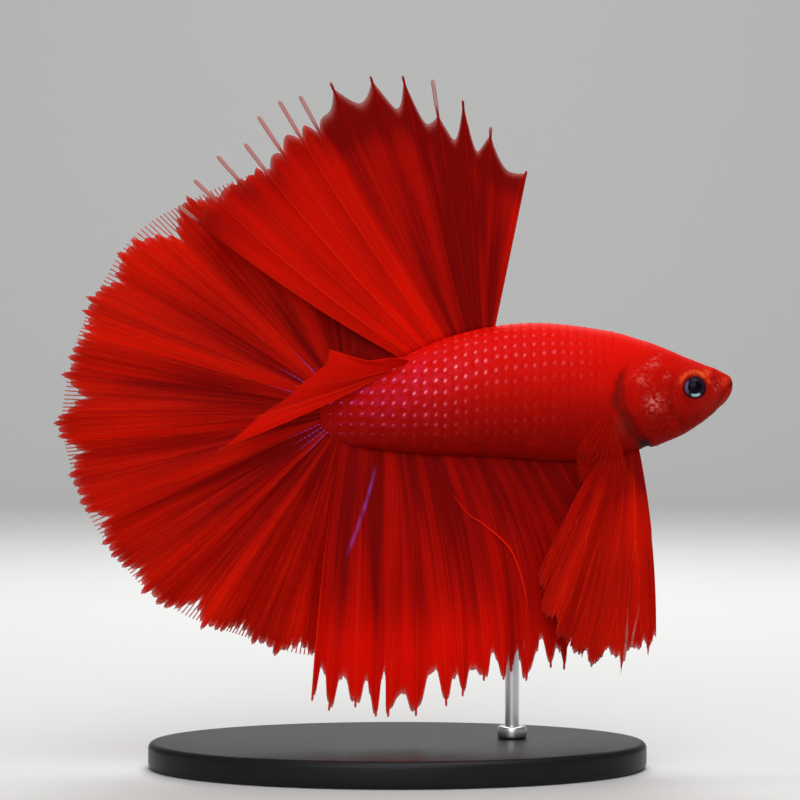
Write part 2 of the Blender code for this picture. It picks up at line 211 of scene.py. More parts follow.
def spot(s, h, place, width, stretch=(1, 1)):
    """A soft round or oval spot, 1 at its middle, at a place on the side of the body."""
    return hump(np.hypot((s - place[0]) * stretch[0], (h - place[1]) * stretch[1]), 0, width)


def cheek_edge(h):
    """The share s of the cheek bone's rear edge at height h."""
    return smooth_curve([(-0.115, 0.112), (-0.10, 0.130), (-0.07, 0.158), (-0.03, 0.162), (0.01, 0.150)], h)


eye_s, eye_h = 0.101, -0.013
nostril_s, nostril_h = 0.0560, 0.008
mouth = (-0.002, 0.008), (0.042, -0.056)
lip_fold = (0.050, 0.030), (0.037, -0.026)
jaw_fold = (0.050, -0.054), (0.120, -0.108)
nostril_distance = np.hypot(skin_s - nostril_s, skin_h - nostril_h)
eye_distance = np.hypot(skin_s - eye_s, skin_h - eye_h)
eye_up = np.sin(np.arctan2(skin_h - eye_h, eye_s - skin_s))
gill_window = ramp(skin_h, 0.055, 0.010) * ramp(skin_h, -0.185, -0.155)
gap_width = 1 + 0.9 * ramp(skin_h, 0.02, -0.06)
behind_gill = skin_s - gill_edge(skin_h)
behind_gill = np.where(behind_gill > 0, behind_gill / gap_width, behind_gill)
cheek_window = ramp(skin_h, 0.025, 0.0) * ramp(skin_h, -0.125, -0.10)
cheek_distance = skin_s - cheek_edge(skin_h)
mouth_across, mouth_along = line_distance(skin_s, skin_h, *mouth)
lip_across, lip_along = line_distance(skin_s, skin_h, *lip_fold)
jaw_across, jaw_along = line_distance(skin_s, skin_h, *jaw_fold)
mouth_window = ramp(mouth_along, 1.06, 0.85)
lip_window = ramp(lip_along, -0.08, 0.10) * ramp(lip_along, 1.25, 0.95)
jaw_window = ramp(jaw_along, -0.05, 0.10) * ramp(jaw_along, 1.1, 0.8)
vent = np.hypot(skin_s - 0.362, skin_y * 1.2) + 9 * (skin_h > -0.17)
ripple = np.sin(skin_s * 390 + 2.1 * np.sin(skin_h * 160)) * np.sin(skin_h * 330 + 1.7 * np.sin(skin_s * 130))
relief = gill_window * np.interp(
    behind_gill,
    [-0.12, -0.05, -0.014, -0.003, 0.003, 0.009, 0.017, 0.028, 0.050],
    [0.0, 0.05, 0.13, 0.10, -0.20, -0.26, -0.10, 0.04, 0.0],
)
relief += cheek_window * (-0.09 * hump(cheek_distance, 0, 0.006) + 0.05 * hump(cheek_distance, -0.014, 0.008))
relief += mouth_window * (
    -0.19 * hump(mouth_across, 0, 0.0038)
    + 0.08 * hump(mouth_across, 0.0110, 0.006)
    + 0.15 * hump(mouth_across, -0.0110, 0.006)
)
relief += lip_window * (-0.10 * hump(lip_across, 0, 0.0060) + 0.11 * hump(lip_across, 0.014, 0.009))
relief += -0.07 * jaw_window * hump(jaw_across, 0, 0.006)
relief += -0.80 * ramp(eye_distance, 0.0295, 0.0260)
relief += 0.13 * hump(eye_distance, 0.0335, 0.0048)
relief += 0.09 * hump(eye_distance, 0.046, 0.009) * ramp(eye_up, 0.25, 0.8)
relief += -0.12 * hump(nostril_distance, 0, 0.0042) + 0.10 * hump(nostril_distance, 0.0085, 0.0035)
relief += 0.22 * spot(skin_s, skin_h, (0.303, -0.090), 0.024, (1, 0.7))
relief += 0.75 * hump(vent, 0, 0.0170)
relief += 0.016 * ripple * ramp(skin_s, 0.30, 0.22) * ramp(eye_distance, 0.034, 0.05)
radius += relief * millimetre
bare_depth = 0.02 * millimetre
radius -= bare_depth + (scale_depth - bare_depth) * ramp(skin_s, 0.27, 0.31)
skin_points = axis_points + outward * radius[..., None]
flattened = (1 - 0.88 * ramp(skin_s, 0.90, 1.03))[..., None]
skin_points[..., 1:2] = axis_points[..., 1:2] + (skin_points - axis_points)[..., 1:2] * flattened
ring_step = np.gradient(skin_points, axis=0)
turn_step = (np.roll(skin_points, -1, 1) - np.roll(skin_points, 1, 1)) / 2
skin_normals = np.cross(ring_step, turn_step)
skin_normals /= np.linalg.norm(skin_normals, axis=-1, keepdims=True) + 1e-12
skin_normals *= np.sign(np.sum(skin_normals * outward, axis=-1, keepdims=True))


def on_skin(s, turn, lift=0.0):
    """Points of the skin at shares s and turns, in radians, raised by lift in metres."""
    s, turn, lift = np.broadcast_arrays(s, turn, lift)
    ring = np.interp(s, shares, np.arange(len(shares)))
    i = np.minimum(ring.astype(int), len(shares) - 2)
    column = (turn / (2 * pi) * turns) % turns
    j = column.astype(int) % turns
    p, q = (ring - i)[..., None], (column - np.floor(column))[..., None]

    def between(grid):
        near = grid[i, j] * (1 - q) + grid[i, (j + 1) % turns] * q
        away = grid[i + 1, j] * (1 - q) + grid[i + 1, (j + 1) % turns] * q
        return near * (1 - p) + away * p

    return between(skin_points) + between(skin_normals) * lift[..., None]


def mesh_piece(name, points, faces, uv=None):
    """A smooth mesh object. uv holds one (u, v) for each point."""
    mesh = bpy.data.meshes.new(name)
    mesh.from_pydata(np.asarray(points).reshape(-1, 3).tolist(), [], faces)
    mesh.shade_smooth()
    if uv is not None:
        add_uv(mesh, "UVMap", uv)
    made = bpy.data.objects.new(name, mesh)
    bpy.context.scene.collection.objects.link(made)
    return made


def add_uv(mesh, name, uv):
    corners = np.empty(len(mesh.loops), int)
    mesh.loops.foreach_get("vertex_index", corners)
    layer = mesh.uv_layers.new(name=name)
    layer.data.foreach_set("uv", np.asarray(uv, np.float32).reshape(-1, 2)[corners].ravel())


def add_marks(mesh, name, values):
    """Four numbers for each point, which its material reads as the amount of each marking and of painted
    light and shade.
    """
    layer = mesh.attributes.new(name, "FLOAT_COLOR", "POINT")
    layer.data.foreach_set("color", np.asarray(values, np.float32).ravel())


def markings(s, h):
    """The amounts of painted shade in creases with a few deep spots, pale pink, orange and grey lip at a
    place on the side of the body.
    """
    from_gill = (s - gill_edge(h)) / (1 + 0.9 * ramp(h, 0.02, -0.06))
    across, along_it = line_distance(s, h, *mouth)
    fold_across, fold_along = line_distance(s, h, *lip_fold)
    from_eye = np.hypot(s - eye_s, h - eye_h)
    over_eye = ramp(np.sin(np.arctan2(h - eye_h, eye_s - s)), 0.05, 0.7)
    # Painted shade in the gill slit, mouth cleft, lip and cheek folds, nostrils and the groove round the eye,
    # with the throat's own deep patch and a spot at the vent.
    shade_and_dark_spots = 0.62 * (ramp(h, 0.050, 0.010) * ramp(h, -0.185, -0.150)) * hump(from_gill, 0.009, 0.009)
    shade_and_dark_spots += (0.45 + 0.4 * ramp(s, 0.014, 0.006)) * hump(across, 0, 0.0034) * ramp(along_it, 1.06, 0.85)
    shade_and_dark_spots += 0.20 * hump(fold_across, 0, 0.0065) * ramp(fold_along, -0.08, 0.10) * ramp(fold_along, 1.2, 0.9)
    shade_and_dark_spots += 0.95 * spot(s, h, (0.220, -0.160), 0.016, (1, 0.8))
    shade_and_dark_spots += 0.60 * spot(s, h, (nostril_s, nostril_h), 0.0040)
    shade_and_dark_spots += 1.3 * spot(s, h, (0.376, -0.184), 0.0100)
    shade_and_dark_spots += 0.22 * hump(s, cheek_edge(h), 0.006) * ramp(h, 0.02, -0.02) * ramp(h, -0.125, -0.10)
    shade_and_dark_spots += 0.45 * hump(from_eye, 0.029, 0.0055)
    pale = spot(s, h, (0.2035, -0.050), 0.020)
    pale += 0.8 * spot(s, h, (0.230, 0.006), 0.011, (0.7, 1))
    pale += 0.6 * spot(s, h, (0.205, 0.047), 0.009, (0.6, 1))
    pale += 0.5 * spot(s, h, (0.170, 0.012), 0.008)
    streak = line_distance(s, h, (0.250, 0.022), (0.185, 0.070))[0]
    pale += 0.45 * hump(streak, 0, 0.004) * hump(s, 0.217, 0.035)
    pale += 0.35 * spot(s, h, (0.044, -0.010), 0.016, (1.6, 1))
    orange = 0.8 * hump(from_eye, 0.039, 0.006) * over_eye
    orange += 0.9 * spot(s, h, (0.072, 0.024), 0.010, (0.8, 1))
    orange += 0.35 * spot(s, h, (0.020, 0.005), 0.014)
    grey = 1.3 * ramp(along_it, 1.25, 0.95) * hump(across, -0.017, 0.011) * ramp(s, 0.09, 0.05)
    grey *= 0.15 + 0.85 * ramp(s, 0.006, 0.032)
    grey += 0.15 * spot(s, h, (0.060, -0.060), 0.035)
    grey += 0.20 * spot(s, h, (0.285, -0.110), 0.022)
    return np.clip(np.stack([shade_and_dark_spots, pale, orange, grey], axis=-1), 0, 1)


def ring_faces(rings, around):
    """The faces of a skin over rings of points, each ring closed on itself."""
    faces = []
    for i in range(rings - 1):
        for j in range(around):
            here, beside = i * around + j, i * around + (j + 1) % around
            faces.append((here, beside, beside + around, here + around))
    return faces


rings = len(shares)
pole_lift = 0.01 * millimetre
points = np.concatenate([
    skin_points.reshape(-1, 3),
    [[snout_x + pole_lift, middle_y[0], middle_z[0]]],
    [[ring_x[-1] - pole_lift, middle_y[-1], middle_z[-1]]],
])
faces = ring_faces(rings, turns)
front, rear = rings * turns, rings * turns + 1
faces += [(front, (j + 1) % turns, j) for j in range(turns)]
faces += [(rear, (rings - 1) * turns + j, (rings - 1) * turns + (j + 1) % turns) for j in range(turns)]
skin = mesh_piece("skin", points, faces)
skin_marks = markings(skin_s, (skin_points[..., 2] - snout_z) / length).reshape(-1, 4)
add_marks(skin.data, "marks", np.concatenate([skin_marks, skin_marks[[0]], skin_marks[[-1]]]))


class Link:
    """One output of a material's nodes. Arithmetic on links adds the Math nodes for it."""

    def __init__(self, tree, socket=None):
        self.tree, self.socket = tree, socket

    def node(self, kind, settings, inputs, output=0):
        """Adds a shader node: first its settings, then a value or a link for each named socket."""
        made = self.tree.nodes.new("ShaderNode" + kind)
        for name, value in settings.items():
            setattr(made, name, value)
        for name, value in inputs.items():
            self.feed(made.inputs[name], value)
        return Link(self.tree, made.outputs[output])

    def feed(self, socket, value):
        """Links a socket to a value that is a link, and otherwise sets it."""
        if isinstance(value, Link):
            self.tree.links.new(value.socket, socket)
        else:
            socket.default_value = (*value, 1) if socket.type == "RGBA" else value

    def maths(self, operation, *values):
        return self.node("Math", {"operation": operation}, dict(enumerate(values)))

    def __add__(self, other):
        return self.maths("ADD", self, other)

    def __sub__(self, other):
        return self.maths("SUBTRACT", self, other)

    def __rsub__(self, other):
        return self.maths("SUBTRACT", other, self)

    def __mul__(self, other):
        return self.maths("MULTIPLY", self, other)

    def __pow__(self, other):
        return self.maths("POWER", self, other)

    __radd__, __rmul__ = __add__, __mul__

    def ramp(self, low, high):
        """0 at low, 1 at high, and smooth between them."""
        return self.node(
            "MapRange",
            {"interpolation_type": "SMOOTHSTEP"},
            {"Value": self, "From Min": low, "From Max": high},
        )

    def blend(self, share, first, second):
        """The first colour with a share of the second laid over it."""
        return self.node("Mix", {"data_type": "RGBA"}, {0: share, 6: first, 7: second}, output=2)

    def under(self, share, colour):
        """This colour with a share of another laid over it."""
        return self.blend(share, self, colour)

    def part(self, name):
        """One number of a vector or colour."""
        return self.node("SeparateXYZ", {}, {0: self}, output=name)

    def place(self):
        """The place on the piece, in metres."""
        return self.node("TexCoord", {}, {}, output="Object")

    def attribute(self, name, output="Color"):
        return self.node("Attribute", {"attribute_name": name}, {}, output)

    def noise(self, scale, detail=2.0, stretch=(1, 1, 1)):
        placed = self.node("Mapping", {}, {"Vector": self, "Scale": stretch})
        return self.node("TexNoise", {}, {"Vector": placed, "Scale": scale, "Detail": detail})

    def bump(self, strength, depth):
        """A rough surface with this link as its height."""
        return self.node("Bump", {}, {"Strength": strength, "Distance": depth, "Height": self})


def new_material(name):
    """A material with its Principled shader, and a link to start its nodes from."""
    made = bpy.data.materials.new(name)
    made.use_nodes = True
    return made, made.node_tree.nodes["Principled BSDF"], Link(made.node_tree)


def feed(start, shader, **sockets):
    """Sets a shader's sockets, whose names have _ for each space."""
    for name, value in sockets.items():
        start.feed(shader.inputs[name.replace("_", " ")], value)


def body_red(start):
    """The body's red, with painted shade from the bright back down to the wine-red belly, and its markings
    laid over it.
    """
    place = start.place()
    height = (place.part("Z") - snout_z) * (1 / length)
    on_head = ((snout_x - place.part("X")) * (1 / length)).ramp(0.30, 0.16)
    # Painted shade: darker towards the belly, and lower down on the head, as under light from above.
    shade_to_belly = (height - 0.05 * on_head).ramp(0.12, -0.17)
    red = start.blend(shade_to_belly, (0.66, 0.0035, 0.0008), (0.22, 0.002, 0.0007))
    red = red.under(place.noise(900, 3).ramp(0.45, 0.75) * 0.10, (0.78, 0.012, 0.002))
    marks = start.attribute("marks")
    grey = start.attribute("marks", "Alpha")
    mottle = place.noise(2600, 3)
    red = red.under(on_head * mottle.ramp(0.5, 0.8) * 0.22, (0.55, 0.040, 0.016))
    red = red.under(marks.part("Z") * (0.25 + 0.75 * mottle.ramp(0.38, 0.60)), (0.72, 0.085, 0.020))
    red = red.under((marks.part("Y") * mottle.ramp(0.42, 0.62)) * 0.75, (0.72, 0.16, 0.14))
    red = red.under(grey * 0.55, (0.28, 0.080, 0.050))
    # Painted shade of the creases and the groove round the eye, with the deep throat and vent spots.
    return place, red.under(marks.part("X") * 0.95, (0.020, 0.005, 0.004))


skin_finish, shader, start = new_material("skin_red")
place, red = body_red(start)
pores = place.noise(7000, 3)
cells = start.node("TexVoronoi", {"feature": "DISTANCE_TO_EDGE"}, {"Vector": place, "Scale": 1500})
ground = (pores * 0.6 + cells.ramp(0.0, 0.25) * 0.5).bump(0.30, 0.05 * millimetre)
feed(start, shader, Base_Color=red, Roughness=0.42 + 0.20 * pores, Specular_IOR_Level=0.02, Normal=ground)
skin.data.materials.append(skin_finish)
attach(skin, "root")
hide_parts(*flesh)


# ------------------------------------------------------------------ scales
# Thin round-edged scales of clear bone, rooted in the skin and lapped towards the tail like roof tiles,
# from behind the gill openings to the root of the tail fin. Each carries a spot of pearly reflecting
# cells, strongest along the rear flank. One scale is shaped and then laid along every row.
scale_step = 0.0240
rows_each_side = 16
scale_length, scale_reach = 1.75 * scale_step, 0.66 * pi / rows_each_side
lengthwise, crosswise = 4, 5
scale_thickness = 0.030
template_a, template_b = np.meshgrid(
    np.linspace(0, 1, lengthwise + 1), np.linspace(-1, 1, crosswise + 1), indexing="ij"
)
template_long = template_a * (1 - 0.34 * template_b**2)
template_lift = -0.020 + 0.062 * template_long + 0.012 * (1 - template_b**2)
template_faces = []
across = crosswise + 1
size = (lengthwise + 1) * across
for i in range(lengthwise):
    for j in range(crosswise):
        corner = i * across + j
        face = (corner, corner + across, corner + across + 1, corner + 1)
        template_faces += [face, tuple(size + face[k] for k in (0, 3, 2, 1))]
rim = [*range(across), *(i * across + crosswise for i in range(1, lengthwise + 1))]
rim += [lengthwise * across + j for j in range(crosswise - 1, -1, -1)]
rim += [i * across for i in range(lengthwise - 1, 0, -1)]
for k, following in zip(rim, rim[1:] + rim[:1]):
    template_faces.append((k, following, size + following, size + k))


def flank_height(s, turn):
    """The height share of the flank at share s and a turn from its middle."""
    middle, half = np.interp(s, shares, middle_z), np.interp(s, shares, half_high)
    return (middle - snout_z + half * np.sin(turn)) / length


def row_turn(s, base_turn):
    """The turn of a row of scales: rising towards the head, and level towards the tail until it runs out."""
    level_s = 0.70
    rising = smooth_curve([(0.25, 0.28), (0.42, 0.14), (0.57, 0.05), (level_s, 0), (1.10, 0)], s)
    level = (flank_height(level_s, base_turn) - flank_height(s, 0)) * length / np.interp(s, shares, half_high)
    if abs(level) > 1.04:
        return np.nan
    turn = base_turn + rising * cos(base_turn)
    return turn + (np.arcsin(np.clip(level, -1, 1)) - turn) * ramp(s, 0.64, 0.84)


def pearl_of(row, column, s, h):
    """How pearly a scale is, how violet, how it differs from the rest, and 1."""
    band_h = 0.012 - 0.10 * (s - 0.74) + 0.24 * max(0.74 - s, 0) * ramp(s, 0.30, 0.60)
    glow = 0.30 * ramp(s, 0.30, 0.50) + 0.66 * ramp(s, 0.50, 0.70)
    glow = hump(h, band_h, 0.056) * glow * (1 - 0.2 * ramp(s, 0.92, 0.98))
    glow += 0.30 * hump(h, -0.075, 0.032) * ramp(s, 0.62, 0.74) * ramp(s, 0.93, 0.86)
    low_band = 0.04 * hump(h, -0.090, 0.045) * ramp(s, 0.36, 0.50)
    glow += low_band + 0.10 * hump(h, -0.11, 0.03) * ramp(s, 0.84, 0.90)
    chance = ((row * 7 + column * 13 + row * column * 5) % 17) / 16
    return [min(glow * (0.6 + 0.75 * chance), 1.2), ramp(s, 0.66, 0.98), (chance * 5.3) % 1, 1]


first_s, last_s, behind_gill_by = 0.262, 1.022, 0.034
column_step, step_growth, columns = 0.0215, 0.0001, 36
scale_points, scale_faces, scale_patches, scale_locals, scale_marks = [], [], [], [], []
for side in (1, -1):
    for row in range(rows_each_side):
        base_turn = -pi / 2 + pi * (row + 0.5) / rows_each_side
        for column in range(columns):
            s = first_s + column * (column_step + step_growth * column)
            turn = row_turn(s, base_turn)
            h = flank_height(s, turn)
            if np.isnan(turn) or s < gill_edge(h) + behind_gill_by or s > last_s:
                continue
            turn = turn if side > 0 else pi - turn
            shrink = 1 - 0.40 * ramp(s, 0.90, 1.02)
            long = s + (template_long - 0.45) * scale_length * shrink
            round_it = turn + side * template_b * scale_reach
            lift = template_lift * (0.40 + 0.60 * ramp(s, 0.32, 0.56))
            sheets = [on_skin(long, round_it, rise * millimetre) for rise in (lift, lift - scale_thickness)]
            start_index = sum(len(block) for block in scale_points)
            scale_points.append(np.concatenate(sheets).reshape(-1, 3))
            scale_faces += [tuple(start_index + k for k in face[::side]) for face in template_faces]
            patch_u = 0.04 + 0.92 * s / shares[-1] + (template_a - 0.5) * 0.003
            patch_v = (turn / (2 * pi)) % 1 + template_b * 0.0015
            patch = np.stack([patch_u, patch_v], axis=-1).reshape(-1, 2)
            local = np.stack([template_long, (template_b + 1) / 2], axis=-1).reshape(-1, 2)
            scale_patches += [patch, patch]
            scale_locals += [local, local]
            scale_marks.append(np.tile(pearl_of(row, column, s, h), (2 * size, 1)))
scale_points = np.concatenate(scale_points)
scales = mesh_piece("scales", scale_points, scale_faces)
scales.data.set_sharp_from_angle(angle=radians(50))
add_uv(scales.data, "OFBake", np.concatenate(scale_patches))
add_uv(scales.data, "scale", np.concatenate(scale_locals))
scale_s = (snout_x - scale_points[:, 0]) / length
add_marks(scales.data, "marks", markings(scale_s, (scale_points[:, 2] - snout_z) / length))
add_marks(scales.data, "pearl", np.concatenate(scale_marks))

scale_finish, shader, start = new_material("scale_red")
place, red = body_red(start)
local = start.node("UVMap", {"uv_map": "scale"}, {})
from_rear = local.part("X")
off_centre = local.part("Y") - 0.5
pearl = start.attribute("pearl")
aside = pearl.part("Z") - 0.5
from_spot = from_rear - 0.70 - aside * 0.10
across_spot = off_centre + aside * 0.12 + (from_rear - 0.70) * 0.35
spot_place = from_spot * from_spot * (80 + 50 * pearl.part("Z")) + across_spot * across_spot * 66
grain = place.noise(9000, 2)
haze = place.noise(1500, 2).ramp(0.35, 0.65) * pearl.part("X") * 0.28
core = spot_place.ramp(1.4, 0.20) * pearl.part("X") * (0.35 + 1.1 * grain)
bloom = spot_place.ramp(5.0, 0.2) * pearl.part("X") * (0.10 + 0.60 * grain)
pearly = start.blend(pearl.part("Y"), (0.88, 0.23, 0.24), (0.62, 0.16, 0.46))
glowing = start.blend(pearl.part("Y"), (0.74, 0.024, 0.055), (0.56, 0.020, 0.14))
# Painted shade along the free rear edge of each scale.
red = red.under(from_rear.ramp(0.80, 1.0) * 0.35, (0.22, 0.002, 0.001))
red = red.under(haze, glowing).under(bloom, glowing).under(core, pearly)
growth = (from_rear * 60).maths("SINE", from_rear * 60)
ground = (growth * 0.5 + grain).bump(0.15, 0.03 * millimetre)
feed(start, shader, Base_Color=red, Roughness=0.50 - 0.15 * core, Specular_IOR_Level=0.02, Normal=ground)
scales.data.materials.append(scale_finish)
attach(scales, "root")


# ------------------------------------------------------------------ eyes
# Two hard wet eyeballs, each a slightly flattened ball. The pupil is black, and the
# iris violet grey with a bright turquoise crescent under the pupil. Each sits in its socket's soft rim.
eye_finish, shader, start = new_material("eye_dark")
eye_low, eye_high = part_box("eye_right")
eye_middle, eye_size = (eye_low + eye_high) / 2, (eye_high.x - eye_low.x) / 2
place = start.place()
forward = (place.part("X") - eye_middle.x) * (1 / eye_size)
upward = (place.part("Z") - eye_middle.z) * (1 / eye_size)
from_middle = (forward * forward + upward * upward) ** 0.5
threads = place.noise(6000, 3)
behind_pupil = forward.ramp(-0.35, -0.75) * upward.ramp(0.75, 0.35) * (0.35 + 0.7 * threads)
iris = start.blend(behind_pupil, (0.016, 0.006, 0.016), (0.20, 0.15, 0.28))
crescent = ((forward - 0.10) * (forward - 0.10) * 5 + (upward + 0.64) * (upward + 0.64) * 22).ramp(1.3, 0.2)
iris = iris.under(crescent * 0.9, (0.42, 0.66, 0.74))
iris = iris.under(from_middle.ramp(0.80, 0.90), (0.012, 0.006, 0.020))
iris = iris.under(from_middle.ramp(0.62, 0.54), (0.002, 0.001, 0.004))
feed(start, shader, Base_Color=iris, Roughness=0.08, Specular_IOR_Level=0.07)
for word in ("left", "right"):
    low_corner, high_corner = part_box(f"eye_{word}")
    middle, half = (low_corner + high_corner) / 2, (high_corner - low_corner) / 2
    bpy.ops.mesh.primitive_uv_sphere_add(
        segments=48, ring_count=24, radius=1, location=middle, rotation=(pi / 2, 0, 0)
    )
    eye = bpy.context.object
    eye.name = f"eyeball_{word}"
    eye.scale = (half.x, half.z, half.y)
    bpy.ops.object.transform_apply(location=True, rotation=True, scale=True)
    bpy.ops.object.shade_smooth()
    eye.data.materials.append(eye_finish)
    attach(eye, "root")
    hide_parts(f"eye_{word}")
    bpy.ops.object.select_all(action="DESELECT")


# ------------------------------------------------------------------ dorsal fin
# A tall fan of thin red web on fourteen bony rays. The rear rays are longer and run out past the web as
# bare clear rods. Web and rays follow the fin's own lean and pleats. The web is a sheet with a thickness,
# and the rays are tapering rods on both its faces.
def along(*values):
    """A smooth curve through values that are evenly spaced from 0 to 1."""
    points = list(zip(np.linspace(0, 1, len(values)), values))
    return lambda u: smooth_curve(points, np.clip(u, 0, 1))


def wander(u, seed):
    """A gentle irregular number about 0 that changes along a fin."""
    return (np.sin(u * 17.3 + seed) + np.sin(u * 41.7 + 2.1 * seed) + np.sin(u * 89.1 + 3.7 * seed)) / 3


class Fin:
    """A fin's shape. u runs across its rays and v along each from root to tip, both from 0 to 1."""

    # climb is how far the web reaches up each ray, and finger, hollow and teeth shape it between two tips.
    # lobes, split, fray, uneven and ragged tear the margin. sway curls the rays unevenly, and rib sinks the
    # web between them. contrast and light set how much painted light and shade the material lays on pleats
    # and places.
    usual = dict(
        climb=along(0.97, 0.97), finger=None, hollow=2.0, teeth=1, bare_tip=lambda u: 9.0,
        lobes=None, split=0.0, fray=0.010, uneven=0.01, ragged=0.0, sway=0.0, rib=0.0012,
        contrast=0.38, light=lambda u, v: 0 * u * v, seed=1.0, side=-1,
    )

    def __init__(self, **shape):
        vars(self).update(self.usual | shape)
        self.lobes = self.lobes or self.rays - 1

    def pleat(self, u):
        turn = 2 * pi * (self.folds * u + self.phase + 0.14 * np.sin(2 * pi * 1.3 * u))
        ripple = 0.18 * np.sin(2 * turn + 1.1 + self.seed)
        return np.sin(turn) + ripple + 0.12 * np.sin(3.3 * turn + self.seed)

    def point(self, u, v):
        """The middle of the fin's thickness."""
        u, v = np.broadcast_arrays(np.asarray(u, float), np.asarray(v, float))
        start = np.radians(self.angle(u))
        turn = np.radians(self.curl(u) + self.sway * wander(0.45 * u, self.seed + 9))
        turn = np.where(abs(turn) < 1e-3, 1e-3, turn)
        reach = length * self.reach(u)
        forward = (np.sin(start + turn * v) - np.sin(start)) / turn
        up = (np.cos(start) - np.cos(start + turn * v)) / turn
        between = np.sin(pi * u * (self.rays - 1)) ** 2
        rib = -self.side * self.rib * between * np.minimum(v * 4, 1)
        folded = self.fold(u) * self.pleat(u) * v**1.3
        sideways = self.lean(u) * v + self.bow(u) * 4 * v * (1 - v) + folded + rib
        return self.root(u) + np.stack([reach * forward, length * sideways, reach * up], axis=-1)

    def reach_of(self, u):
        """How far the margin reaches here, beside a margin with no fraying and no splits."""
        place = u * self.lobes
        notch = (1 - abs(2 * (place % 1) - 1)) ** 2.4
        split = self.split * (1 + 0.9 * wander(np.floor(place) * 0.37, self.seed + 5))
        reach = 1 + self.fray * wander(u * 2.6, self.seed) - split * notch
        ray = np.round(u * (self.rays - 1) * min(self.teeth, 2))
        return reach + self.uneven * np.sin(ray * 12.99 + self.seed) * np.sin(ray * 78.2 + 2 * self.seed)

    def edge(self, u):
        """How far along the rays the web reaches: up each ray tip, and hollow between two of them."""
        place = u * (self.rays - 1) * self.teeth + (self.teeth > 1) * 0.5
        tip = abs(2 * (place % 1) - 1)
        raised = ramp(tip, *self.finger) if self.finger else tip**self.hollow
        if self.teeth > 1:
            raised = raised * (0.55 + 0.45 * np.sin(np.round(place) * 12.99) * np.sin(np.round(place) * 78.2))
        gap = np.floor(place)
        web = self.web(u) + self.ragged * np.sin(gap * 12.99 + self.seed) * np.sin(gap * 78.2)
        return (web + (self.climb(u) - web) * raised) * self.reach_of(u)

    def marks(self, u, v, bare, glow):
        """How high on a pleat, how bare, how violet and how lit a point is, for its material, which paints
        pleats and places as lit and shaded.
        """
        pleat_light = np.clip(0.5 + self.side * self.contrast * self.pleat(u), 0, 1)
        lit = np.clip(0.5 + 0.5 * self.light(u, v), 0, 1)
        return np.stack(np.broadcast_arrays(pleat_light, bare, glow(u, v) if glow else 0.0, lit), axis=-1)


def build_web(name, fin, finish, per_ray=10, rows=40, thickness=0.08, glow=None):
    """The web: a pleated sheet from the root to its margin, made solid."""
    columns = (fin.rays - 1) * per_ray + 1
    u = np.linspace(0, 1, columns)[:, None]
    v = fin.edge(u) * np.linspace(0, 1, rows)[None, :] ** 0.9
    points = fin.point(u, v)
    faces = [
        (i * rows + j, (i + 1) * rows + j, (i + 1) * rows + j + 1, i * rows + j + 1)
        for i in range(columns - 1)
        for j in range(rows - 1)
    ]
    u = np.broadcast_to(u, v.shape)
    web = mesh_piece(name, points, faces, uv=np.stack([u, v], axis=-1))
    bare = np.clip((v - fin.edge(u) + 0.05) / 0.05, 0, 1)
    add_marks(web.data, "fin", fin.marks(u, v, bare, glow))
    bpy.context.view_layer.objects.active = web
    web.select_set(True)
    wall = web.modifiers.new("wall", "SOLIDIFY")
    wall.thickness, wall.offset = thickness * millimetre, 0
    bpy.ops.object.modifier_apply(modifier="wall")
    bpy.ops.object.select_all(action="DESELECT")
    web.data.materials.append(finish)
    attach(web, "root")
    return web


rod_sides = 6


def tube(path, radii):
    """Points and faces of a rod of changing radius along a path, closed at both ends."""
    count, sides = len(path), rod_sides
    ahead = np.gradient(path, axis=0)
    ahead /= np.linalg.norm(ahead, axis=1, keepdims=True) + 1e-12
    first = np.cross(ahead, [0.0, 1.0, 0.0])
    first /= np.linalg.norm(first, axis=1, keepdims=True) + 1e-12
    second = np.cross(ahead, first)
    turn = np.arange(sides) * 2 * pi / sides
    ring = first[:, None, :] * np.cos(turn)[None, :, None] + second[:, None, :] * np.sin(turn)[None, :, None]
    points = (path[:, None, :] + ring * radii[:, None, None]).reshape(-1, 3)
    ends = [tuple(range(sides - 1, -1, -1)), tuple((count - 1) * sides + j for j in range(sides))]
    return points, ring_faces(count, sides) + ends


def ray_branches(fin, k, forks):
    """Each stretch of one ray, as (u at its start, u at its end, v at its start, v at its end)."""
    pitch, parting = 1 / (fin.rays - 1), 0.16
    stretches, open_ends = [], [(k * pitch, 0.0)]
    spread = 0.25 * pitch
    for fork in forks:
        parted = min(fork + parting, 0.98)
        following = []
        for u, v in open_ends:
            stretches.append((u, u, v, fork))
            for aside in (u - spread, u + spread):
                if 0 <= aside <= 1:
                    stretches.append((u, aside, fork, parted))
                    following.append((aside, parted))
        open_ends = following
        spread *= 0.5
    return stretches + [(u, u, v, None) for u, v in open_ends]


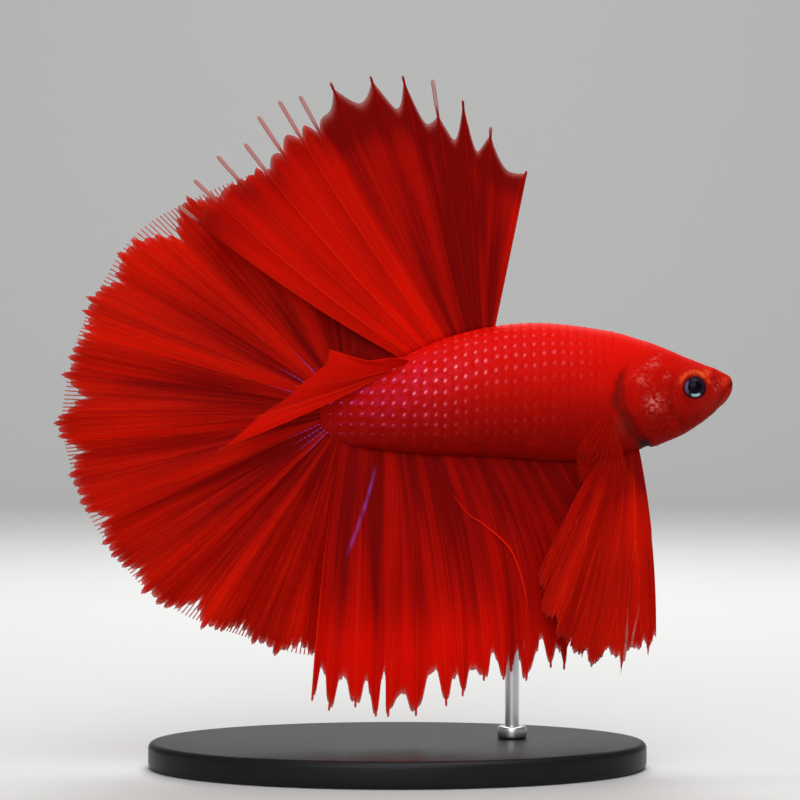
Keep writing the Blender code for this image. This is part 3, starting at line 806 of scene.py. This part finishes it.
def build_rays(name, fin, finish, forks, radii, rod=0.0, glow=None, pale_ray=None):
    """All the rays of a fin as one piece: how far out each fork comes, and the radii at root and tip."""
    radius, tip_radius = radii
    all_points, all_faces, all_uv, all_marks = [], [], [], []
    stretches = [stretch for k in range(fin.rays) for stretch in ray_branches(fin, k, forks)]
    for u0, u1, v0, v1 in stretches:
        last = v1 is None
        if last:
            bare_tip = fin.bare_tip(u0) * (0.6 + 0.4 * sin(1300.0 * u0 + fin.seed))
            v1 = max(min(float(fin.reach_of(np.array(u0))), float(fin.edge(u0)) + bare_tip), v0 + 0.03)
        fineness = 200 if glow and v0 == 0 else 30
        t = np.linspace(0, 1, max(5, int(fineness * (v1 - v0)) + 2))
        if last:
            tip_steps = np.array([0.0045, 0.0015, 0.0]) * (tip_radius / 0.05)
            t = np.append(t[:-1], 1 - tip_steps / (v1 - v0))
        v = v0 + (v1 - v0) * t
        u = u0 + (u1 - u0) * t * t * (3 - 2 * t)
        girth = radius + (tip_radius - radius) * np.clip(v, 0, 1) ** 0.7
        if last:
            girth[-3:] *= (1.0, 0.75, 0.15)
        if v0 > 0:
            girth[0] *= 0.8
        bare = np.clip((v - fin.edge(u)) / 0.04, 0, 1)
        girth *= 1 + rod * bare
        if pale_ray is not None:
            pale = hump(u, pale_ray, 0.03) * ramp(v, 0.62, 0.72)
            bare, girth = np.maximum(0.5 * bare, pale), girth * (1 + 2.2 * pale)
        points, faces = tube(fin.point(u, v), girth * millimetre)
        start_index = sum(len(block) for block in all_points)
        all_points.append(points)
        all_faces += [tuple(start_index + i for i in face) for face in faces]
        all_uv.append(np.repeat(np.stack([u, v], axis=-1), rod_sides, axis=0))
        all_marks.append(np.repeat(fin.marks(u, v, bare, glow), rod_sides, axis=0))
    rays = mesh_piece(name, np.concatenate(all_points), all_faces, uv=np.concatenate(all_uv))
    add_marks(rays.data, "fin", np.concatenate(all_marks))
    rays.data.materials.append(finish)
    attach(rays, "root")


def fin_material(name, ray_count, deep, bright, clear, fine=0.25, stem=False, solidness=1.0, backlight=1.0):
    """A thin red web or its rays: lines along the rays, painted light and shade over pleats and places,
    clearer at the margin, and lit from behind too.
    """
    made, shader, start = new_material(name)
    uv = start.node("UVMap", {"uv_map": "UVMap"}, {})
    marks = start.attribute("fin")
    lit = start.attribute("fin", "Alpha")
    lines = uv.noise(1.0, 2, stretch=(ray_count * 7.0, 1.0, 1))
    threads = uv.noise(1.0, 3, stretch=(ray_count * 22.0, 2.5, 1))
    bundles = uv.noise(1.0, 1, stretch=(ray_count * 1.1, 1.3, 1))
    drawn = lines.ramp(0.30, 0.70) + threads.ramp(0.30, 0.70) * 0.35 - 0.60
    drawn = drawn * uv.part("Y").ramp(-0.15, 0.40) * fine
    # Painted light and shade: pleat crests and lit places are painted towards the bright red, the rest
    # towards the deep red.
    brightness = drawn + bundles.ramp(0.30, 0.70) * 0.35 + marks.part("X") * 0.32 + lit * 1.1 - 0.53
    glow = brightness.maths("MINIMUM", brightness, 1.0)
    bare = marks.part("Y")
    red = start.blend(glow, deep, bright).under(bare**1.6 * (0.85 if stem else 0.35), clear)
    red = red.under(marks.part("Z") * 0.8, (0.24, 0.09, 0.55))
    ground = (lines + threads * 0.4).bump(0.3, 0.08 * millimetre)
    feed(start, shader, Base_Color=red, Roughness=0.6, Specular_IOR_Level=0.03, Normal=ground)
    feed(start, shader, Alpha=solidness * (1 - (0.45 * bare if stem else 0.65 * bare**2)))
    behind = start.node("BsdfTranslucent", {}, {"Color": bright})
    front = Link(start.tree, shader.outputs["BSDF"])
    share = ((0.12 if stem else 0.18) + glow * (0.16 if stem else 0.26)) * backlight
    both = start.node("MixShader", {}, {0: share, 1: front, 2: behind})
    start.tree.links.new(both.socket, start.tree.nodes["Material Output"].inputs["Surface"])
    return made


back, belly = 1, -1
root_depth = 0.30 * millimetre


def root_line(edge, front_s, rear_s, side=0.0):
    """A fin's root along the back or belly from s = front_s to rear_s, sunk into the skin."""

    def root(u):
        s = front_s + (rear_s - front_s) * u
        half = np.interp(s, shares, half_wide)
        turn = edge * np.arccos(np.clip(side * length / half, -1, 1))
        return on_skin(s, turn, -root_depth)

    return root


def dorsal_light(u, v):
    """Painted light and shade: deep red over the front, and bright over the folds at the rear."""
    light = 0.9 * ramp(u, 0.40, 0.62) * ramp(v, 0.95, 0.55) - 0.55 * hump(u, 0.25, 0.20) * ramp(v, 1.0, 0.6)
    light -= 0.25 * ramp(u, 0.45, 0.15)
    light += 0.7 * hump(u, 0.0, 0.025) - 0.20 * ramp(v, 0.70, 0.85)
    return light - 0.65 * ramp(v, 0.68, 0.90) * ramp(u, 0.70, 0.45)


web_red = fin_material(
    "web_red", 14, (0.17, 0.0008, 0.0004), (0.78, 0.007, 0.0008), (0.40, 0.040, 0.020), fine=0.16
)
ray_red = fin_material(
    "ray_red", 14, (0.26, 0.001, 0.0004), (0.80, 0.012, 0.001), (0.42, 0.27, 0.24), fine=0.2, stem=True
)
dorsal = Fin(
    root=root_line(back, 0.598, 0.824),
    rays=14,
    angle=along(78.3, 89.1, 94.6, 99.7, 104.8, 110.3, 117.4, 123.3, 126.5, 130.8, 135.6, 140.4, 146.2, 151.3),
    curl=along(0, -1, -3, -6, -9, -11),
    reach=along(
        0.404, 0.509, 0.58, 0.642, 0.665, 0.686, 0.708, 0.709, 0.721, 0.716, 0.676, 0.696, 0.687, 0.673
    ),
    web=along(0.90, 0.79, 0.90, 0.89, 0.88, 0.93),
    lean=along(0.0, -0.005, -0.020, -0.040, -0.065, -0.090),
    bow=along(0.0, 0.0, -0.008, -0.016),
    folds=5,
    fold=along(0.003, 0.004, 0.007, 0.013, 0.014, 0.012),
    phase=0.0,
    climb=along(0.985, 0.96, 0.985, 0.86, 0.985, 0.985, 0.975, 0.85, 0.84, 0.84, 0.85, 0.86, 0.88, 0.90),
    hollow=1.7,
    fray=0.0,
    uneven=0.0,
    rib=0.0030,
    seed=1.7,
    contrast=0.28,
    light=dorsal_light,
)
dorsal_web = build_web("dorsal_web", dorsal, web_red, per_ray=12, rows=44)
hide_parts("dorsal_fin")
build_rays("dorsal_rays", dorsal, ray_red, (), (0.12, 0.14), rod=0.7)


# ------------------------------------------------------------------ rear lobe of the dorsal fin
# The last dorsal rays, folded down over the right side of the tail stalk, so that their web, painted as
# brightly lit, lies in front of the tail fin. A small fold of the same web is turned over behind it, painted
# in shadow. Both are made as the fin is.
lobe = Fin(
    root=root_line(back, 0.810, 0.860, side=-0.024),
    rays=6,
    angle=along(167, 180, 181, 198, 203, 208),
    curl=along(0, -6, -26, -14, -8, -7),
    reach=along(0.035, 0.065, 0.100, 0.140, 0.182, 0.190, 0.254, 0.300, 0.356, 0.403, 0.454),
    web=along(0.975, 0.975),
    lean=along(-0.045, -0.060, -0.068, -0.072, -0.074),
    bow=along(-0.010, -0.010, -0.016, -0.022, -0.026),
    folds=1.5,
    fold=along(0.004, 0.008),
    phase=0.2,
    climb=along(0.985, 0.985),
    rib=0.0015,
    uneven=0.0,
    seed=0.4,
    # Painted light over the lobe, a little dimmer three quarters of the way across.
    light=lambda u, v: 1.0 - 0.30 * hump(u, 0.75, 0.12) + 0 * v,
)
lobe_web = build_web("dorsal_lobe_web", lobe, web_red, per_ray=16, rows=36)
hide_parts("dorsal_fin_lobe")
build_rays("dorsal_lobe_rays", lobe, ray_red, (), (0.12, 0.06))

turned_over = Fin(
    root=root_line(back, 0.808, 0.835),
    rays=3,
    angle=along(150, 164, 178),
    curl=along(-8, -4, 0),
    reach=along(0.20, 0.14, 0.12),
    web=along(1, 1),
    climb=along(1, 1),
    lean=along(-0.010, -0.030),
    bow=along(0.0, 0.0),
    folds=1,
    fold=along(0.002, 0.002),
    phase=0.0,
    # Painted shadow over the whole fold.
    light=lambda u, v: -0.9 + 0 * u * v,
)
build_web("dorsal_turned_web", turned_over, web_red, rows=20)


# ------------------------------------------------------------------ tail fin
# The halfmoon tail: half a disc of web on many rays, each forked three times, round the rounded end of
# the stalk. It is pleated like a fan and frayed into fine clear tips at its margin.
def stalk_root(u):
    """The tail fin's root, round the end of the stalk from its upper to its lower edge."""
    turn = np.radians(68 + 195 * u)
    s = 0.966 - 0.056 * np.cos(turn)
    h = -0.081 + 0.066 * np.sin(turn)
    y = np.interp(np.minimum(s, 1.0), shares, middle_y)
    return np.stack([snout_x - s * length, y, snout_z + h * length], axis=-1)


def tail_glow(u, v):
    """Violet reflecting cells on a few rays near the root."""
    upper = hump(u, 0.27, 0.012) + hump(u, 0.345, 0.012) + 0.6 * hump(u, 0.42, 0.010)
    lower = ramp(u, 0.63, 0.65) * ramp(u, 0.80, 0.76) * (0.75 + 0.25 * np.sin(u * 400))
    broken = 0.15 + 0.85 * ramp(np.sin(v * 330 + 40 * u), -0.3, 0.7)
    return np.clip((upper * ramp(v, 0.24, 0.12) + lower * ramp(v, 0.16, 0.06)) * broken, 0, 1)


def tail_light(u, v):
    """Painted shadow in deep red under the dorsal fin, and painted light out towards the margin."""
    light = -0.35 * ramp(u, 0.34, 0.12) * ramp(v, 1.0, 0.6) + 0.40 * ramp(v, 0.35, 0.90)
    light -= 0.22 * ramp(u, 0.30, 0.50)
    return light - 0.22 * ramp(v, 0.40, 0.14) * ramp(u, 0.48, 0.58)


tail_red = fin_material(
    "tail_web_red", 27, (0.15, 0.0008, 0.0004), (0.82, 0.010, 0.0008), (0.45, 0.050, 0.022)
)
tail_ray_red = fin_material(
    "tail_ray_red", 27, (0.24, 0.001, 0.0004), (0.88, 0.022, 0.001), (0.46, 0.22, 0.17), stem=True
)
tail = Fin(
    root=stalk_root,
    rays=27,
    angle=along(70, 131, 177, 221, 265),
    curl=along(14, 0, 0, 0),
    reach=along(
        0.575, 0.585, 0.600, 0.622, 0.652, 0.650, 0.660, 0.668, 0.655, 0.632, 0.615, 0.578, 0.562, 0.565
    ),
    web=lambda u: 0.966 - 0.050 * hump(u, 0.275, 0.035),
    lean=along(0.060, 0.020, -0.020, -0.020, 0.015, 0.075),
    bow=along(0.020, -0.008, -0.012, -0.010, 0.0),
    folds=9,
    fold=along(0.012, 0.012),
    phase=0.1,
    climb=lambda u: 1.004 - 0.050 * hump(u, 0.275, 0.035),
    teeth=4,
    lobes=13,
    split=0.055,
    fray=0.012,
    uneven=0.006,
    hollow=1.0,
    sway=5.0,
    bare_tip=lambda u: 0.006 + 0.06 * hump(u, 0.275, 0.035),
    rib=0.0008,
    seed=2.9,
    light=tail_light,
)
tail_web = build_web("tail_web", tail, tail_red, per_ray=24, rows=36)
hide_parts("caudal_fin")
tail_forks = (0.28, 0.55, 0.78)
build_rays("tail_rays", tail, tail_ray_red, tail_forks, (0.10, 0.06), rod=0.3, glow=tail_glow)


# ------------------------------------------------------------------ anal fin
# A long skirt of web under the body, from behind the vent to the tail fin. Its front rays sweep forward
# and curve down, its rear rays hang straight, and their tips run out past the web. One loose ray lies
# folded over its right face.
def anal_glow(u, v):
    """A slanting line of violet reflecting cells."""
    line = 0.75 * hump(u, 0.862 + 0.23 * (v - 0.10), 0.0036)
    broken = 0.75 + 0.25 * np.sin(v * 90)
    return line * ramp(v, 0.07, 0.13) * ramp(v, 0.44, 0.34) * broken


def anal_light(u, v):
    """Painted shade in deep red by the body, and a painted glow of light at the lower rear margin."""
    light = -0.12 - 0.38 * ramp(v, 0.55, 0.15) - 0.25 * ramp(u, 0.45, 0.15)
    return light + 0.25 * ramp(v, 0.62, 0.88) + 0.95 * ramp(v, 0.50, 0.80) * ramp(u, 0.45, 0.70)


anal_red = fin_material(
    "anal_web_red", 21, (0.17, 0.0008, 0.0004), (0.82, 0.006, 0.0008), (0.45, 0.050, 0.022)
)
anal_ray_red = fin_material(
    "anal_ray_red", 21, (0.24, 0.001, 0.0004), (0.86, 0.013, 0.001), (0.62, 0.36, 0.30), stem=True
)
anal = Fin(
    root=root_line(belly, 0.343, 0.985),
    rays=21,
    angle=along(305, 303, 300, 291, 274, 262),
    curl=along(-32, -32, -30, -21, -6, 0),
    reach=along(0.370, 0.490, 0.560, 0.595, 0.665, 0.655),
    web=along(0.88, 0.90, 0.91, 0.90, 0.89, 0.86),
    lean=along(0.0, -0.010, -0.018, -0.030, -0.048, -0.055),
    bow=along(0.0, 0.0, -0.006, -0.008),
    folds=8,
    fold=along(0.006, 0.008, 0.010),
    phase=0.35,
    climb=along(0.975, 0.975),
    fray=0.030,
    finger=(0.25, 0.75),
    uneven=0.030,
    sway=6.0,
    rib=0.0008,
    seed=4.1,
    contrast=0.26,
    ragged=0.045,
    light=anal_light,
)
anal_web = build_web("anal_web", anal, anal_red, per_ray=16, rows=40, glow=anal_glow)
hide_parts("anal_fin")
build_rays("anal_rays", anal, anal_ray_red, (), (0.10, 0.12), rod=0.4)

web_tree = BVHTree.FromObject(anal_web, bpy.context.evaluated_depsgraph_get())
off_web = 0.16 * millimetre
steps = np.linspace(0, 1, 40)
fold_s = along(0.698, 0.661, 0.623, 0.555, 0.519, 0.5176, 0.5236)(steps)
fold_h = along(-0.281, -0.327, -0.353, -0.417, -0.523, -0.590, -0.666)(steps)
fold_x, fold_z = snout_x - fold_s * length, snout_z + fold_h * length
fold_y = mended([touched(web_tree, (x, -0.05, z), (0, 1, 0), 1) for x, z in zip(fold_x, fold_z)])
fold_path = np.stack([fold_x, eased(fold_y, 6) - off_web, fold_z], axis=-1)
points, faces = tube(fold_path, (0.04 + 0.10 * np.sin(pi * steps**1.4)) * millimetre)
fold_uv = np.stack([0 * steps + 0.5, steps], axis=-1)
loose_ray = mesh_piece("anal_loose_ray", points, faces, uv=np.repeat(fold_uv, rod_sides, axis=0))
# Painted light: the loose ray is painted as a fully lit crest, clearing at its tip.
loose_marks = np.stack([0 * steps + 1, ramp(steps, 0.90, 1.0) * 0.5, 0 * steps, 0 * steps + 0.9], axis=-1)
add_marks(loose_ray.data, "fin", np.repeat(loose_marks, rod_sides, axis=0))
loose_ray.data.materials.append(anal_ray_red)
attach(loose_ray, "root")


# ------------------------------------------------------------------ ventral fins
# A pair of narrow blades under the chest, each of a few long rays, held apart and hanging in front of the
# anal fin. The left one is swept back a little further. One ray of each ends in a pale, thicker tip.
def ventral_light(u, v):
    """Painted shade at the root, and painted light at the front of the blade under it."""
    light = 0.6 * hump(v, 0.36, 0.16) * hump(u, 0.15, 0.35) - 0.9 * ramp(v, 0.26, 0.06)
    return light + 0.2 * hump(v, 0.85, 0.15)


ventral_red = fin_material(
    "ventral_web_red", 7, (0.19, 0.0009, 0.0004), (0.80, 0.009, 0.0008), (0.45, 0.050, 0.022)
)
ventral_ray_red = fin_material(
    "ventral_ray_red", 7, (0.28, 0.001, 0.0004), (0.86, 0.022, 0.002), (0.66, 0.42, 0.36), stem=True
)
for word, side in (("left", 1), ("right", -1)):
    swept = 4.0 if side > 0 else 0.0
    ventral = Fin(
        root=root_line(belly, 0.236, 0.324, side=0.024 * side),
        rays=7,
        angle=along(281 - swept, 270 - swept, 258, 246, 234),
        curl=along(-14, -10, -4, 4, 10),
        reach=along(0.530, 0.560, 0.530, 0.450, 0.340),
        web=along(0.90, 0.93, 0.95, 0.975),
        lean=along(0.055 * side, 0.060 * side, 0.066 * side, 0.070 * side),
        bow=along(0.006 * side, 0.010 * side),
        folds=2.5,
        fold=along(0.008, 0.008),
        phase=0.1,
        climb=along(0.98, 0.985),
        teeth=2,
        lobes=5,
        split=0.04,
        fray=0.025,
        uneven=0.012,
        finger=(0.10, 0.90),
        bare_tip=lambda u: 0.004,
        sway=4.0,
        rib=0.0015,
        light=ventral_light,
        side=side,
        seed=5.0 + side,
    )
    ventral_web = build_web(f"ventral_web_{word}", ventral, ventral_red, per_ray=24, rows=40)
    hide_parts(f"ventral_fin_{word}")
    forks, radii = (0.40, 0.70), (0.10, 0.07)
    build_rays(f"ventral_rays_{word}", ventral, ventral_ray_red, forks, radii, pale_ray=0.167)


# ------------------------------------------------------------------ pectoral fins
# A pair of small round fans behind the gill covers, held off the body. Their web is nearly clear, so the
# belly shows through it, and their fine rays are only faintly red.
pectoral_red = fin_material(
    "pectoral_web_red", 10, (0.45, 0.004, 0.002), (0.80, 0.020, 0.004), (0.60, 0.10, 0.06),
    solidness=0.05, backlight=0.5,
)
pectoral_ray_red = fin_material(
    "pectoral_ray_red", 10, (0.45, 0.004, 0.002), (0.82, 0.030, 0.006), (0.60, 0.10, 0.06),
    stem=True, solidness=0.12, backlight=0.5,
)
for word, side in (("left", 1), ("right", -1)):

    def flank_root(u, side=side):
        s, h = 0.300 + 0.008 * u, -0.116 + 0.056 * u
        middle = (np.interp(s, shares, middle_z) - snout_z) / length
        turn = np.arcsin(np.clip((h - middle) * length / np.interp(s, shares, half_high), -1, 1))
        return on_skin(s, turn if side > 0 else pi - turn, -0.15 * millimetre)

    pectoral = Fin(
        root=flank_root,
        rays=11,
        angle=along(287, 272, 257, 243, 226),
        curl=along(-4, -2, 2, 4),
        reach=along(0.130, 0.175, 0.195, 0.195, 0.140),
        web=along(0.96, 0.96),
        lean=along(0.060 * side, 0.075 * side, 0.080 * side),
        bow=along(0.010 * side, 0.010 * side),
        folds=2,
        fold=along(0.004, 0.004),
        phase=0.0,
        rib=0.0008,
        side=side,
        seed=7.0 + side,
        # Painted light, even over the whole fin.
        light=lambda u, v: 0.6 + 0 * u * v,
    )
    pectoral_web = build_web(
        f"pectoral_web_{word}", pectoral, pectoral_red, rows=28, thickness=0.06
    )
    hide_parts(f"pectoral_fin_{word}")
    build_rays(f"pectoral_rays_{word}", pectoral, pectoral_ray_red, (0.5,), (0.07, 0.03))


# ------------------------------------------------------------------ display stand
# An oval base of black acrylic with a polished rounded edge, and a steel rod that stands in it in a small
# turned collar and ends in the belly.
base_low, base_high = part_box("stand_base")
rod_low, rod_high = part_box("stand_rod")
rod_middle, rod_radius = (rod_low + rod_high) / 2, (rod_high.x - rod_low.x) / 2
in_belly = 2.0 * millimetre
collar_height = 1.4 * millimetre


def turned(name, sides, radius, low_z, high_z):
    """A round bar on the rod's own line, left selected."""
    middle = (rod_middle.x, rod_middle.y, (high_z + low_z) / 2)
    bpy.ops.mesh.primitive_cylinder_add(vertices=sides, radius=radius, depth=high_z - low_z, location=middle)
    bpy.context.object.name = name
    bpy.ops.object.transform_apply(location=True, rotation=True, scale=True)
    return bpy.context.object


def round_off(piece, width, segments):
    """Rounds a selected piece's sharp edges."""
    rounding = piece.modifiers.new("rounding", "BEVEL")
    rounding.width, rounding.segments, rounding.limit_method = width, segments, "ANGLE"
    bpy.ops.object.modifier_apply(modifier="rounding")


bpy.ops.mesh.primitive_cylinder_add(vertices=160, radius=1, depth=1, location=(base_low + base_high) / 2)
base = bpy.context.object
base.name = "base"
base_size = base_high - base_low
base.scale = (base_size.x / 2, base_size.y / 2, base_size.z)
bpy.ops.object.transform_apply(location=True, rotation=True, scale=True)
round_off(base, 0.7 * millimetre, 5)
bpy.ops.object.shade_smooth_by_angle(angle=radians(35))
base_finish, shader, start = new_material("base_black")
haze = start.place().noise(600, 4)
feed(start, shader, Base_Color=(0.008, 0.008, 0.009), Roughness=0.34 + 0.04 * haze, Specular_IOR_Level=0.16)
base.data.materials.append(base_finish)
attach(base, "root")
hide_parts("stand_base")
bpy.ops.object.select_all(action="DESELECT")

steel, shader, start = new_material("rod_steel")
brushed = start.place().noise(1.0, 3, stretch=(9000, 9000, 300))
feed(start, shader, Base_Color=(0.62, 0.62, 0.64), Metallic=1.0, Roughness=0.22 + 0.16 * brushed)
rod = turned("rod", 40, rod_radius, rod_low.z, rod_high.z + in_belly)
bpy.ops.object.shade_smooth_by_angle(angle=radians(35))
rod.data.materials.append(steel)
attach(rod, "root")
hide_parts("stand_rod")
bpy.ops.object.select_all(action="DESELECT")

collar = turned("rod_collar", 48, rod_radius * 2.1, base_high.z, base_high.z + collar_height)
round_off(collar, 0.3 * millimetre, 3)
bpy.ops.object.shade_smooth_by_angle(angle=radians(35))
collar.data.materials.append(steel)
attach(collar, "root")
bpy.ops.object.select_all(action="DESELECT")


# ------------------------------------------------------------------ studio
# A pale floor that curves up into a far backdrop. Large soft lights hang overhead, beside the camera,
# behind the fins, so that they glow, and over the backdrop. The camera looks level at the right side.
bpy.ops.mesh.primitive_plane_add(size=4, location=(0, -0.90, 0))
floor = bpy.context.object
floor.name = "floor"
bpy.ops.object.mode_set(mode="EDIT")
bpy.ops.mesh.select_all(action="DESELECT")
bpy.ops.object.mode_set(mode="OBJECT")
for edge in floor.data.edges:
    edge.select = all(floor.data.vertices[i].co.y > 0 for i in edge.vertices)
bpy.ops.object.mode_set(mode="EDIT")
bpy.ops.mesh.select_mode(type="EDGE")
bpy.ops.mesh.extrude_region_move(TRANSFORM_OT_translate={"value": (0, 0, 1.4)})
bpy.ops.object.mode_set(mode="OBJECT")
bend = floor.modifiers.new("bend", "BEVEL")
bend.width, bend.segments = 0.35, 24
bpy.ops.object.modifier_apply(modifier="bend")
bpy.ops.object.shade_smooth()
floor_finish, shader, start = new_material("floor_pale")
feed(start, shader, Base_Color=(0.56, 0.56, 0.55), Roughness=0.85)
floor.data.materials.append(floor_finish)
floor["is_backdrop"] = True

middle_x = 0.0003
fish_middle = Vector((middle_x, 0, (cad_low.z + cad_high.z) / 2))


def soft_light(name, place, size, power, target=fish_middle):
    """A large round lamp, turned to its target."""
    lamp = bpy.data.lights.new(name, "AREA")
    lamp.shape, lamp.size, lamp.energy = "DISK", size, power
    made = bpy.data.objects.new(name, lamp)
    made.location = place
    made.rotation_euler = (target - Vector(place)).to_track_quat("-Z", "Y").to_euler()
    bpy.context.scene.collection.objects.link(made)


soft_light("overhead", (0.06, -0.22, 0.48), 0.40, 1.35)
soft_light("beside_camera", (-0.06, -0.60, 0.28), 0.50, 1.9)
soft_light("behind", (0.02, 0.30, 0.38), 0.30, 1.3)
soft_light("on_backdrop", (0.0, 0.22, 0.80), 0.50, 5.0, target=Vector((0, 1.1, 0.25)))
world = bpy.data.worlds.new("studio")
world.use_nodes = True
sky = world.node_tree.nodes["Background"]
sky.inputs["Color"].default_value = (0.90, 0.92, 0.95, 1)
sky.inputs["Strength"].default_value = 0.26
bpy.context.scene.world = world
bpy.context.scene.view_settings.view_transform = "Standard"

camera_data = bpy.data.cameras.new("camera")
camera_data.lens, camera_data.sensor_width = 120, 36
camera = bpy.data.objects.new("camera", camera_data)
field, aim_z = 0.090, 0.0413
camera.location = (middle_x, -field / camera_data.sensor_width * camera_data.lens, aim_z)
camera.rotation_euler = (pi / 2, 0, 0)
bpy.context.scene.collection.objects.link(camera)
bpy.context.scene.camera = camera

bpy.context.view_layer.update()
low_corner, high_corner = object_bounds()
